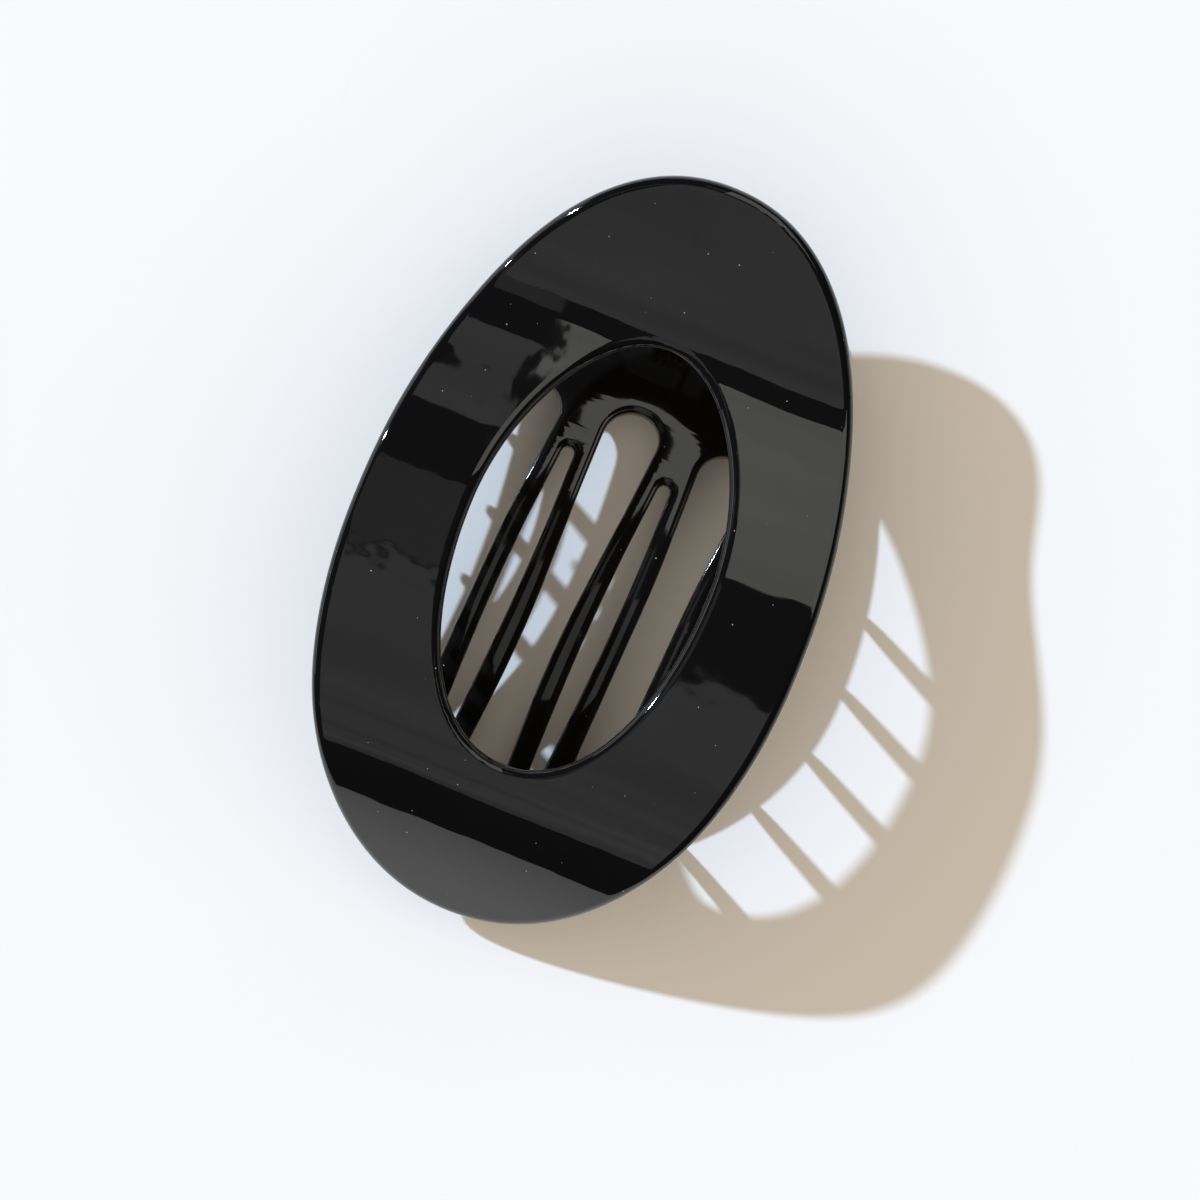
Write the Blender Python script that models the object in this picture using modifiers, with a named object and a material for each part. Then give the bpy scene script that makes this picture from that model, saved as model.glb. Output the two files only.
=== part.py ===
"""Oval flat claw clip: a curved front plate with a window, a comb jaw behind it, a hinge pin and a spring.

Metres, +Z up.  The clip lies on its back jaw: +Y points to the finger tabs, -Y to the gripping tip,
the floor is z = 0 and the whole clip is centred on x = y = 0.  Working dimensions are in millimetres.
"""
import math

import bmesh
import bpy
from mathutils import Matrix, Vector

MM = 0.001

# Front plate: its outline, its window and its height along the clip, on the top face.
# An egg-shaped outline is widest at its centre y, and has a length and a roundness (2 is an ellipse)
# of its own towards the tip and towards the finger tab.
PLATE_HALF_WIDTH = 32.2
PLATE_CENTRE_Y = -4.0204
PLATE_LENGTH = {"tip": 49.8, "tab": 56.9}
PLATE_ROUNDNESS = {"tip": 2.09, "tab": 2.15}
PLATE_THICKNESS = 2.8
WINDOW_HALF_WIDTH = 17.1
WINDOW_CENTRE_Y = 1.04
WINDOW_LENGTH = {"tip": 31.5, "tab": 29.0}
WINDOW_ROUNDNESS = {"tip": 2.09, "tab": 1.93}
PLATE_EDGE_ROUNDING = 0.7
# Seen from the side the plate is level, and bends three times: (y of the bend, its radius, change of slope).
PLATE_CROWN_Z = 28.6
TIP_BEND = (-38.5, 4.5, 1.42)
DIP_BEND = (9.0, 4.0, 0.34)
TAB_BEND = (29.5, 4.0, 0.66)

# Back jaw: an arched comb whose two ends lie flat on the floor.
JAW_HALF_WIDTH = 26.4
JAW_CENTRE_Y = 1.0
JAW_LENGTH = {"tip": 46.5, "tab": 50.5}
JAW_ROUNDNESS = {"tip": 2.3, "tab": 2.8}
JAW_THICKNESS = 2.2
JAW_EDGE_ROUNDING = 0.5
JAW_ARCH_Y = -2.0
JAW_ARCH_Z = 10.3
JAW_ARCH_FALL = {"tip": 0.0060, "tab": 0.0041}
JAW_FOOT_ROUNDING = 1.0
# The jaw's sheet is drawn outwards from an oval inside the middle slot: centre y, half width, half length.
JAW_START_OVAL = (-3.0, 1.0, 12.0)
# Slots of the comb: the slot's centre line x, then (y, half width) stations from its top to its bottom.
# All the slots lean a little to the left towards the tip, about the hinge.
WIDE_SLOT = [(17.4, 3.9), (8.0, 3.5), (0.5, 3.05), (-10.0, 2.55), (-20.0, 2.6), (-32.0, 3.2)]
OUTER_WIDE_SLOT = [(16.8, 3.6), (8.0, 3.1), (0.5, 2.7), (-10.0, 2.6), (-26.5, 2.5)]
NARROW_SLOT = [(12.5, 0.9), (7.0, 1.15), (0.5, 1.4), (-10.0, 1.5), (-20.0, 1.3), (-31.0, 0.9)]
OUTER_NARROW_SLOT = [(9.0, 1.6), (4.0, 2.0), (-2.0, 2.0), (-9.0, 1.4)]
SLOTS = [(0.0, WIDE_SLOT), (7.2, NARROW_SLOT), (-7.2, NARROW_SLOT), (14.1, OUTER_WIDE_SLOT),
         (-14.1, OUTER_WIDE_SLOT), (21.0, OUTER_NARROW_SLOT), (-21.0, OUTER_NARROW_SLOT)]
SLOT_LEAN = 0.044
SLOT_CUTTER_LOW, SLOT_CUTTER_HIGH = -5.0, 20.0

# Teeth under the front plate: long and short ones take turns, and the two sides are half a step apart.
TEETH_PER_SIDE = 10
FIRST_TOOTH_Y = 14.5
TOOTH_PITCH = 5.15
TOOTH_LEAN = 0.35
TOOTH_ROOT_INSET = 2.6
TOOTH_ROOT_SIZE = (2.2, 3.0)
TOOTH_TIP_SIZE = (1.3, 1.6)
LONG_TOOTH_OVERLAP = 1.6
TOOTH_TO_JAW_GAP = 0.75
SHORT_TOOTH_SHARE = 0.40
TOOTH_EDGE_ROUNDING = 0.3

# Hinge: the pin's axis runs along X, through two ears of the plate and two ears of the jaw.
HINGE_Y = 35.5
HINGE_Z = 13.0
PIN_RADIUS = 1.0
PIN_HALF_LENGTH = 11.2
PIN_CLEARANCE = 0.3
PIN_EDGE_ROUNDING = 0.25
PIN_HOLE_OVERLENGTH = 2.0
EAR_RADIUS = 3.0
EAR_THICKNESS = 2.2
PLATE_EAR_X = 6.9
JAW_EAR_X = 9.6
EAR_EMBED = 1.2

# Torsion spring: a coil round the pin, with one leg under each finger tab.
WIRE_RADIUS = 0.45
COIL_RADIUS = 2.1
COIL_TURNS = 5
COIL_PITCH = 1.15
LEG_END_Y = 47.0
LEG_HOOK = 2.0
CONTACT_GAP = 0.3

ANGLE_STEPS = 84
PLATE_RING_STEPS = 6
JAW_RING_STEPS = 10
CYLINDER_STEPS = 24


def clear_scene():
    for item in list(bpy.data.objects):
        bpy.data.objects.remove(item, do_unlink=True)


def new_collection(name):
    collection = bpy.data.collections.new(name)
    bpy.context.scene.collection.children.link(collection)
    return collection


def plastic_or_steel(name, colour, roughness, metallic):
    material = bpy.data.materials.new(name)
    material.use_nodes = True
    shader = material.node_tree.nodes["Principled BSDF"]
    shader.inputs["Base Color"].default_value = (*colour, 1.0)
    shader.inputs["Roughness"].default_value = roughness
    shader.inputs["Metallic"].default_value = metallic
    return material


def bend(distance, radius):
    """Nothing well before a bend, the full distance well after it, and a round turn between."""
    return radius * math.log1p(math.exp(distance / radius))


def plate_height(y):
    tip_y, tip_radius, tip_slope = TIP_BEND
    dip_y, dip_radius, dip_slope = DIP_BEND
    tab_y, tab_radius, tab_slope = TAB_BEND
    return (PLATE_CROWN_Z - tip_slope * bend(tip_y - y, tip_radius)
            - dip_slope * bend(y - dip_y, dip_radius) + tab_slope * bend(y - tab_y, tab_radius))


def foot_bend(height):
    """Exactly flat well below the floor line, the full height well above it, and a round foot between."""
    if height <= -JAW_FOOT_ROUNDING:
        return 0.0
    if height >= JAW_FOOT_ROUNDING:
        return height
    return (height + JAW_FOOT_ROUNDING) ** 2 / (4 * JAW_FOOT_ROUNDING)


def jaw_height(y):
    fall = JAW_ARCH_FALL["tip" if y < JAW_ARCH_Y else "tab"]
    arch = JAW_ARCH_Z - fall * (y - JAW_ARCH_Y) ** 2
    return JAW_THICKNESS + foot_bend(arch - JAW_THICKNESS)


def slope_at(height, y):
    step = 0.01
    return (height(y + step) - height(y - step)) / (2 * step)


def egg(angle, centre_y, half_width, length, roundness):
    """A point of an egg-shaped outline: two half superellipses that meet where it is widest."""
    c, s = math.cos(angle), math.sin(angle)
    end = "tab" if s > 0 else "tip"
    power = 2 / roundness[end]
    x = half_width * math.copysign(abs(c) ** power, c)
    y = length[end] * math.copysign(abs(s) ** power, s)
    return x, centre_y + y


def plate_outline(angle):
    return egg(angle, PLATE_CENTRE_Y, PLATE_HALF_WIDTH, PLATE_LENGTH, PLATE_ROUNDNESS)


def window_outline(angle):
    return egg(angle, WINDOW_CENTRE_Y, WINDOW_HALF_WIDTH, WINDOW_LENGTH, WINDOW_ROUNDNESS)


def jaw_outline(angle):
    return egg(angle, JAW_CENTRE_Y, JAW_HALF_WIDTH, JAW_LENGTH, JAW_ROUNDNESS)


def jaw_start_outline(angle):
    centre_y, half_width, half_length = JAW_START_OVAL
    return slot_lean(centre_y) + half_width * math.cos(angle), centre_y + half_length * math.sin(angle)


def slot_lean(y):
    return -SLOT_LEAN * (HINGE_Y - y)


def half_width_at(outline, y):
    """The outline's x at a given y, found by halving the angle between the side and the end."""
    side, end = (0.0, math.pi / 2) if y > outline(0.0)[1] else (0.0, -math.pi / 2)
    for _ in range(40):
        middle = (side + end) / 2
        if abs(outline(middle)[1] - outline(0.0)[1]) < abs(y - outline(0.0)[1]):
            side = middle
        else:
            end = middle
    return outline(side)[0]


def add_object(name, mesh, collection, material=None):
    item = bpy.data.objects.new(name, mesh)
    collection.objects.link(item)
    if material:
        mesh.materials.append(material)
    return item


def mesh_from(name, bm):
    mesh = bpy.data.meshes.new(name)
    bm.to_mesh(mesh)
    bm.free()
    return mesh


def curved_sheet(name, inner, outer, height, ring_steps):
    """A grid wrapped round the clip, from the inner outline to the outer one, lifted to its height."""
    bm = bmesh.new()
    bmesh.ops.create_grid(bm, x_segments=ring_steps, y_segments=ANGLE_STEPS, size=0.5)
    for vert in bm.verts:
        share, angle = vert.co.x + 0.5, (vert.co.y + 0.5) * 2 * math.pi
        (xi, yi), (xo, yo) = inner(angle), outer(angle)
        x, y = xi + (xo - xi) * share, yi + (yo - yi) * share
        vert.co = Vector((x, y, height(y))) * MM
    bmesh.ops.remove_doubles(bm, verts=bm.verts, dist=0.00001)
    bm.normal_update()
    if sum(face.normal.z for face in bm.faces) < 0:
        bmesh.ops.reverse_faces(bm, faces=bm.faces)
    return mesh_from(name, bm)


def add_solidify(item, thickness):
    solid = item.modifiers.new("thickness", "SOLIDIFY")
    solid.thickness = thickness * MM
    solid.offset = -1.0
    solid.use_even_offset = True


def add_edge_rounding(item, width, segments):
    bevel = item.modifiers.new("rounded edges", "BEVEL")
    bevel.width = width * MM
    bevel.segments = segments
    bevel.limit_method = "ANGLE"
    bevel.angle_limit = math.radians(55)


def add_boolean(item, operation, tool):
    cut = item.modifiers.new(f"{operation.lower()} {tool.name}", "BOOLEAN")
    cut.operation = operation
    cut.object = tool
    cut.solver = "EXACT"


def as_tool(item):
    item.hide_render = True
    item.display_type = "WIRE"
    return item


def smooth(item, degrees=35):
    item.data.shade_smooth()
    item.data.set_sharp_from_angle(angle=math.radians(degrees))


def cylinder_along_x(bm, radius, x_from, x_to, y, z, steps=CYLINDER_STEPS):
    centre = Vector(((x_from + x_to) / 2, y, z)) * MM
    place = Matrix.Translation(centre) @ Matrix.Rotation(math.pi / 2, 4, "Y")
    bmesh.ops.create_cone(bm, cap_ends=True, segments=steps, radius1=radius * MM, radius2=radius * MM,
                          depth=(x_to - x_from) * MM, matrix=place)


def box(bm, low, high):
    low, high = Vector(low) * MM, Vector(high) * MM
    scale = Matrix.Diagonal((*(high - low), 1.0))
    return bmesh.ops.create_cube(bm, size=1.0, matrix=Matrix.Translation((low + high) / 2) @ scale)["verts"]


def slot_points(centre_x, stations, round_steps=10):
    """The slot's outline: a round top, sides through the stations, and a round bottom."""
    (y_top, r_top), (y_low, r_low) = stations[0], stations[-1]
    half_turn = [math.pi * k / round_steps for k in range(round_steps + 1)]
    top = [(r_top * math.cos(a), y_top + r_top * math.sin(a)) for a in half_turn]
    left = [(-r, y) for y, r in stations[1:-1]]
    low = [(-r_low * math.cos(a), y_low - r_low * math.sin(a)) for a in half_turn]
    right = [(r, y) for y, r in reversed(stations[1:-1])]
    return [(centre_x + slot_lean(y) + x, y) for x, y in top + left + low + right]


def extruded_outline(name, points, low, high, collection):
    """A flat closed outline as a filled curve, extruded both ways, then made one welded mesh."""
    curve = bpy.data.curves.new(name, "CURVE")
    curve.dimensions = "2D"
    curve.fill_mode = "BOTH"
    curve.extrude = (high - low) / 2 * MM
    spline = curve.splines.new("POLY")
    spline.points.add(len(points) - 1)
    for point, (x, y) in zip(spline.points, points):
        point.co = (x * MM, y * MM, 0.0, 1.0)
    spline.use_cyclic_u = True
    source = bpy.data.objects.new(name, curve)
    source.location.z = (low + high) / 2 * MM
    collection.objects.link(source)
    bpy.context.view_layer.update()
    ready = source.evaluated_get(bpy.context.evaluated_depsgraph_get())
    mesh = bpy.data.meshes.new_from_object(ready)
    mesh.transform(source.matrix_world)
    bpy.data.objects.remove(source, do_unlink=True)
    return add_object(name, welded(mesh), collection)


def welded(mesh):
    bm = bmesh.new()
    bm.from_mesh(mesh)
    bmesh.ops.remove_doubles(bm, verts=bm.verts, dist=0.00001)
    bmesh.ops.recalc_face_normals(bm, faces=bm.faces)
    bm.to_mesh(mesh)
    bm.free()
    return mesh


def tooth_line(y_tip, long_tooth):
    """The tooth's centre line on the +X side, from its root inside the plate to its tip, in millimetres."""
    z_tip = jaw_height(y_tip) - LONG_TOOTH_OVERLAP
    x_tip = half_width_at(jaw_outline, y_tip) + TOOTH_TO_JAW_GAP + TOOTH_TIP_SIZE[0] / 2
    y_root = y_tip
    for _ in range(8):
        z_root = plate_height(y_root) - PLATE_THICKNESS / 2
        y_root = y_tip - TOOTH_LEAN * (z_root - z_tip)
    root = Vector((half_width_at(plate_outline, y_root) - TOOTH_ROOT_INSET, y_root, z_root))
    tip = Vector((x_tip, y_tip, z_tip))
    return root, tip if long_tooth else root.lerp(tip, SHORT_TOOTH_SHARE)


def add_tooth(bm, root, tip, mirror):
    """A square bar from root to tip, narrower at the tip: a cube whose ends are moved to the two ends."""
    for vert in bmesh.ops.create_cube(bm, size=1.0)["verts"]:
        at_root = vert.co.z > 0
        end, (size_x, size_y) = (root, TOOTH_ROOT_SIZE) if at_root else (tip, TOOTH_TIP_SIZE)
        place = end + Vector((vert.co.x * size_x, vert.co.y * size_y, 0.0))
        vert.co = Vector((place.x * mirror, place.y, place.z)) * MM


def make_teeth(tools):
    bm = bmesh.new()
    for side in (1, -1):
        for k in range(TEETH_PER_SIDE):
            long_tooth = (k % 2 == 1) == (side == 1)
            root, tip = tooth_line(FIRST_TOOTH_Y - k * TOOTH_PITCH, long_tooth)
            add_tooth(bm, root, tip, side)
    bmesh.ops.recalc_face_normals(bm, faces=bm.faces)
    bmesh.ops.bevel(bm, geom=bm.edges[:], offset=TOOTH_EDGE_ROUNDING * MM, segments=1, affect="EDGES")
    return as_tool(add_object("teeth", mesh_from("teeth", bm), tools))


def make_ears(name, centre_x, attach_z, tools):
    """Two ears: each a web from the wall it grows out of to a round boss on the hinge axis."""
    ears = []
    for side in (1, -1):
        x_low = side * centre_x - EAR_THICKNESS / 2
        x_high = side * centre_x + EAR_THICKNESS / 2
        web = bmesh.new()
        box(web, (x_low, HINGE_Y - EAR_RADIUS, min(HINGE_Z, attach_z)),
            (x_high, HINGE_Y + EAR_RADIUS, max(HINGE_Z, attach_z)))
        ear = as_tool(add_object(f"{name}_{'right' if side > 0 else 'left'}", mesh_from(name, web), tools))
        boss = bmesh.new()
        cylinder_along_x(boss, EAR_RADIUS, x_low, x_high, HINGE_Y, HINGE_Z)
        add_boolean(ear, "UNION", as_tool(add_object(f"{ear.name}_boss", mesh_from("boss", boss), tools)))
        ears.append(ear)
    return ears


def make_pin_hole(tools):
    bm = bmesh.new()
    reach = PIN_HALF_LENGTH + PIN_HOLE_OVERLENGTH
    cylinder_along_x(bm, PIN_RADIUS + PIN_CLEARANCE, -reach, reach, HINGE_Y, HINGE_Z)
    return as_tool(add_object("pin_hole", mesh_from("pin_hole", bm), tools))


def make_front_plate(parts, tools, pin_hole, material):
    mesh = curved_sheet("front_plate", window_outline, plate_outline, plate_height, PLATE_RING_STEPS)
    plate = add_object("front_plate", mesh, parts, material)
    add_solidify(plate, PLATE_THICKNESS)
    add_edge_rounding(plate, PLATE_EDGE_ROUNDING, 2)
    add_boolean(plate, "UNION", make_teeth(tools))
    underside = plate_height(HINGE_Y) - EAR_EMBED
    for ear in make_ears("plate_ear", PLATE_EAR_X, underside, tools):
        add_boolean(plate, "UNION", ear)
    add_boolean(plate, "DIFFERENCE", pin_hole)
    smooth(plate)
    return plate


def make_back_jaw(parts, tools, pin_hole, material):
    mesh = curved_sheet("back_jaw", jaw_start_outline, jaw_outline, jaw_height, JAW_RING_STEPS)
    jaw = add_object("back_jaw", mesh, parts, material)
    add_solidify(jaw, JAW_THICKNESS)
    add_edge_rounding(jaw, JAW_EDGE_ROUNDING, 1)
    for k, (centre_x, stations) in enumerate(SLOTS):
        points = slot_points(centre_x, stations)
        slot = extruded_outline(f"slot_{k}", points, SLOT_CUTTER_LOW, SLOT_CUTTER_HIGH, tools)
        add_boolean(jaw, "DIFFERENCE", as_tool(slot))
    topside = jaw_height(HINGE_Y) - EAR_EMBED
    for ear in make_ears("jaw_ear", JAW_EAR_X, topside, tools):
        add_boolean(jaw, "UNION", ear)
    add_boolean(jaw, "DIFFERENCE", pin_hole)
    smooth(jaw)
    return jaw


def make_hinge_pin(parts, material):
    bm = bmesh.new()
    cylinder_along_x(bm, PIN_RADIUS, -PIN_HALF_LENGTH, PIN_HALF_LENGTH, HINGE_Y, HINGE_Z)
    pin = add_object("hinge_pin", mesh_from("hinge_pin", bm), parts, material)
    add_edge_rounding(pin, PIN_EDGE_ROUNDING, 2)
    smooth(pin)
    return pin


def leg_end(height, side, thickness):
    """Where a spring leg rests: just under the plate's tab (side 1) or just over the jaw's tab (side -1)."""
    slant = math.hypot(1.0, slope_at(height, LEG_END_Y))
    return height(LEG_END_Y) - side * (thickness + CONTACT_GAP + WIRE_RADIUS) * slant


def tangent_angle(end_y, end_z, side):
    """The angle on the coil where the straight leg to (end_y, end_z) leaves it."""
    dy, dz = end_y - HINGE_Y, end_z - HINGE_Z
    return math.atan2(dz, dy) + side * math.acos(COIL_RADIUS / math.hypot(dy, dz))


def spring_points():
    upper_z = leg_end(plate_height, 1, PLATE_THICKNESS)
    lower_z = leg_end(jaw_height, -1, 0.0)
    start = tangent_angle(LEG_END_Y, upper_z, 1)
    stop = tangent_angle(LEG_END_Y, lower_z, -1) + 2 * math.pi * COIL_TURNS
    steps = 16 * COIL_TURNS
    width = COIL_PITCH * (stop - start) / (2 * math.pi)
    points = [(width / 2 - LEG_HOOK, LEG_END_Y, upper_z), (width / 2, LEG_END_Y, upper_z)]
    for k in range(steps + 1):
        angle = start + (stop - start) * k / steps
        points.append((width / 2 - width * k / steps, HINGE_Y + COIL_RADIUS * math.cos(angle),
                       HINGE_Z + COIL_RADIUS * math.sin(angle)))
    points += [(-width / 2, LEG_END_Y, lower_z), (LEG_HOOK - width / 2, LEG_END_Y, lower_z)]
    return points


def make_torsion_spring(parts, material):
    curve = bpy.data.curves.new("torsion_spring", "CURVE")
    curve.dimensions = "3D"
    curve.bevel_depth = WIRE_RADIUS * MM
    curve.bevel_resolution = 2
    curve.use_fill_caps = True
    spline = curve.splines.new("POLY")
    points = spring_points()
    spline.points.add(len(points) - 1)
    for point, place in zip(spline.points, points):
        point.co = (*(Vector(place) * MM), 1.0)
        point.radius = 1.0
    spring = add_object("torsion_spring", curve, parts)
    curve.materials.append(material)
    return spring


def main():
    clear_scene()
    parts = new_collection("oval_claw_clip")
    tools = new_collection("cutters")
    black = plastic_or_steel("gloss_black_plastic", (0.006, 0.006, 0.007), 0.08, 0.0)
    steel = plastic_or_steel("spring_steel", (0.55, 0.55, 0.57), 0.28, 1.0)
    pin_hole = make_pin_hole(tools)
    plate = make_front_plate(parts, tools, pin_hole, black)
    make_back_jaw(parts, tools, pin_hole, black)
    make_hinge_pin(parts, steel)
    make_torsion_spring(parts, steel)
    # The plate turns on the hinge axis, so its origin is moved there.
    axis_point = Vector((0.0, HINGE_Y, HINGE_Z)) * MM
    plate.data.transform(Matrix.Translation(-axis_point))
    plate.location = axis_point


main()
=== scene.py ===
# %% [markdown]
# # A glossy oval claw clip, lying on a pale table
#
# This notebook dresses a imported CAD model. The CAD holds the clip's real sizes and its hinge; here each of
# its four parts gets a finer shape and a real finish. The clip is two black injection mouldings, a plate with
# a window and a comb behind it, held on a steel pin and pushed shut by a coil spring.

# %% Load the frame
import math

import bmesh
import bpy
from mathutils import Matrix, Vector


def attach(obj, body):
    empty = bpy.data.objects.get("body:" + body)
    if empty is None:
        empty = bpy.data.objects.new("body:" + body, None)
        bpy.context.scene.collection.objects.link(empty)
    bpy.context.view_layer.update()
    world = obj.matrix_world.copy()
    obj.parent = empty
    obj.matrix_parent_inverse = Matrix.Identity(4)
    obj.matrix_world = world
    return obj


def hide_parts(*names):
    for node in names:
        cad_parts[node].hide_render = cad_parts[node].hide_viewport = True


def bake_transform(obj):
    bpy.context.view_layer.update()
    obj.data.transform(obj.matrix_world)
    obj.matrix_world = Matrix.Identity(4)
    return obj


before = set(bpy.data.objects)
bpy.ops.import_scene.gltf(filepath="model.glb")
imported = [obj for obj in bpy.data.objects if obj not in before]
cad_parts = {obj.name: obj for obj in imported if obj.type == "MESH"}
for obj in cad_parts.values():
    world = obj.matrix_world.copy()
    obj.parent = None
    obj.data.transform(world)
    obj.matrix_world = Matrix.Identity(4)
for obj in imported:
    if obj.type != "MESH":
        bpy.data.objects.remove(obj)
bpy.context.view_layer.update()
MM = 0.001

# %% [markdown]
# ## How the two mouldings bend
#
# Seen from the side the plate is level over the window, falls steeply at the gripping tip, dips behind the
# window and rises again as a finger tab. Three soft bends give that line. The comb is an arch with two flat
# feet. Both are drawn flat first and bent afterwards, which keeps every edge clean and makes the surface
# perfectly straight across the clip, so reflections run across it in straight bands.

# %% The side lines of the plate and the comb
PLATE_THICKNESS = 2.8
CROWN_Z = 28.6
TIP_BEND = (-38.5, 4.5, 1.42)
DIP_BEND = (9.0, 4.0, 0.34)
TAB_BEND = (29.5, 4.0, 0.66)
COMB_THICKNESS = 2.2
ARCH_Y, ARCH_Z = -2.0, 10.3
ARCH_FALL_TIP, ARCH_FALL_TAB = 0.0060, 0.0041
FOOT_ROUNDING = 1.0


def soft_bend(distance, radius):
    return radius * math.log1p(math.exp(distance / radius))


def plate_height(y):
    tip = TIP_BEND[2] * soft_bend(TIP_BEND[0] - y, TIP_BEND[1])
    dip = DIP_BEND[2] * soft_bend(y - DIP_BEND[0], DIP_BEND[1])
    tab = TAB_BEND[2] * soft_bend(y - TAB_BEND[0], TAB_BEND[1])
    return CROWN_Z - tip - dip + tab


def comb_height(y):
    fall = ARCH_FALL_TIP if y < ARCH_Y else ARCH_FALL_TAB
    over = ARCH_Z - fall * (y - ARCH_Y) ** 2 - COMB_THICKNESS
    if over <= -FOOT_ROUNDING:
        return COMB_THICKNESS
    if over >= FOOT_ROUNDING:
        return COMB_THICKNESS + over
    return COMB_THICKNESS + (over + FOOT_ROUNDING) ** 2 / (4 * FOOT_ROUNDING)


for y in (-52.0, -20.0, 20.0, 50.0):
    print(f"y {y:6.1f} mm: plate {plate_height(y):5.2f}, comb {comb_height(y):5.2f}")

# %% [markdown]
# ## The outlines
#
# The plate, its window and the comb are all egg-shaped: two half ovals that meet where they are widest. A
# power a little over 2 makes an oval a little fuller than an ellipse.

# %% Egg-shaped outlines
PLATE_EGG = (-4.0204, 32.2, 49.8, 2.09, 56.9, 2.15)
WINDOW_EGG = (1.04, 17.1, 31.5, 2.09, 29.0, 1.93)
COMB_EGG = (1.0, 26.4, 46.5, 2.3, 50.5, 2.8)


def egg_points(egg, count):
    """Points round an outline: centre y, half width, then length and roundness for tip and tab."""
    centre_y, half_width, tip_length, tip_power, tab_length, tab_power = egg
    points = []
    for k in range(count):
        angle = 2 * math.pi * k / count
        c, s = math.cos(angle), math.sin(angle)
        length, power = (tab_length, tab_power) if s > 0 else (tip_length, tip_power)
        x = half_width * math.copysign(abs(c) ** (2 / power), c)
        points.append((x, centre_y + length * math.copysign(abs(s) ** (2 / power), s)))
    return even_points(points, count)


def even_points(points, count):
    """The same closed line with its points at equal steps, so no face is much longer than its neighbour."""
    closed = points + points[:1]
    lengths = [math.dist(a, b) for a, b in zip(closed, closed[1:])]
    step, walked, k, result = sum(lengths) / count, 0.0, 0, []
    for n in range(count):
        while walked + lengths[k] < n * step:
            walked += lengths[k]
            k += 1
        share = (n * step - walked) / lengths[k]
        (xa, ya), (xb, yb) = closed[k], closed[k + 1]
        result.append((xa + (xb - xa) * share, ya + (yb - ya) * share))
    return result


print("plate outline points:", len(egg_points(PLATE_EGG, 360)))

# %% [markdown]
# ## Helpers for modelling by hand
#
# An operator works on everything that is selected, so each step starts by selecting nothing. Faces are
# picked by where they are and which way they face, as one would pick them with the mouse.

# %% Selection and modifier helpers


def select_only(obj):
    if bpy.context.object and bpy.context.object.mode != "OBJECT":
        bpy.ops.object.mode_set(mode="OBJECT")
    bpy.ops.object.select_all(action="DESELECT")
    obj.select_set(True)
    bpy.context.view_layer.objects.active = obj


def new_primitive(name):
    obj = bpy.context.object
    obj.name = obj.data.name = name
    return obj


def edit_faces(obj, test):
    """Edit mode with just the faces selected whose centre and normal pass the test."""
    select_only(obj)
    bpy.ops.object.mode_set(mode="EDIT")
    bpy.ops.mesh.select_mode(type="FACE")
    bpy.ops.mesh.select_all(action="DESELECT")
    mesh = bmesh.from_edit_mesh(obj.data)
    for face in mesh.faces:
        face.select_set(test(face.calc_center_median() / MM, face.normal))
    bmesh.update_edit_mesh(obj.data)


def apply_modifier(obj, kind, **settings):
    select_only(obj)
    modifier = obj.modifiers.new(kind.lower(), kind)
    for key, value in settings.items():
        setattr(modifier, key, value)
    bpy.ops.object.modifier_apply(modifier=modifier.name)


def boolean(obj, tool, operation):
    apply_modifier(obj, "BOOLEAN", operation=operation, object=tool, solver="EXACT")


def join(objects, name):
    select_only(objects[0])
    for obj in objects:
        obj.select_set(True)
    bpy.ops.object.join()
    return new_primitive(name)


# %% [markdown]
# ## From outlines to a flat moulding
#
# A circle is added for each outline and its points are snapped onto that outline. Fill turns the loops into
# one flat face with holes. Extruded down it is a slab, and a Bevel rounds every rim. A loop inset a small
# step inside each rim holds the flat part flat, so that the rounding doesn't bleed into its shading.

# %% Slab helpers


def outline_loop(name, points):
    bpy.ops.mesh.primitive_circle_add(vertices=len(points), radius=MM, fill_type="NOTHING")
    loop = new_primitive(name)
    for vertex, (x, y) in zip(loop.data.vertices, points):
        vertex.co = (x * MM, y * MM, 0.0)
    return loop


def flat_slab(name, outlines, thickness):
    slab = join([outline_loop(f"{name}_loop_{k}", points) for k, points in enumerate(outlines)], name)
    select_only(slab)
    bpy.ops.object.mode_set(mode="EDIT")
    bpy.ops.mesh.select_all(action="SELECT")
    bpy.ops.mesh.fill(use_beauty=True)
    bpy.ops.mesh.select_all(action="SELECT")
    bpy.ops.mesh.extrude_region_move(TRANSFORM_OT_translate={"value": (0, 0, -thickness * MM)})
    bpy.ops.mesh.select_all(action="SELECT")
    bpy.ops.mesh.normals_make_consistent(inside=False)
    bpy.ops.object.mode_set(mode="OBJECT")
    return slab


def inset_flats(slab, width):
    """Insets the top and the bottom by a width in millimetres."""
    for side in (1, -1):
        edit_faces(slab, lambda centre, normal: normal.z * side > 0.9)
        bpy.ops.mesh.inset(thickness=width * MM, depth=0.0, use_even_offset=True)
        bpy.ops.object.mode_set(mode="OBJECT")


def round_rims(slab, radius, segments):
    apply_modifier(slab, "BEVEL", width=radius * MM, segments=segments, limit_method="ANGLE",
                   angle_limit=math.radians(60), use_clamp_overlap=False)


# %% [markdown]
# ## Bending a slab
#
# A flat face can't bend, so the slab is first cut across into narrow strips, one bisect at a time. Then each
# point moves: its depth in the slab is measured along the bent line's own normal, which keeps the wall equally
# thick everywhere.

# %% Bending helpers
STRIP_STEP = 0.8
SLOPE_STEP = 0.01
CUT_TOLERANCE = 0.00001


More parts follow.
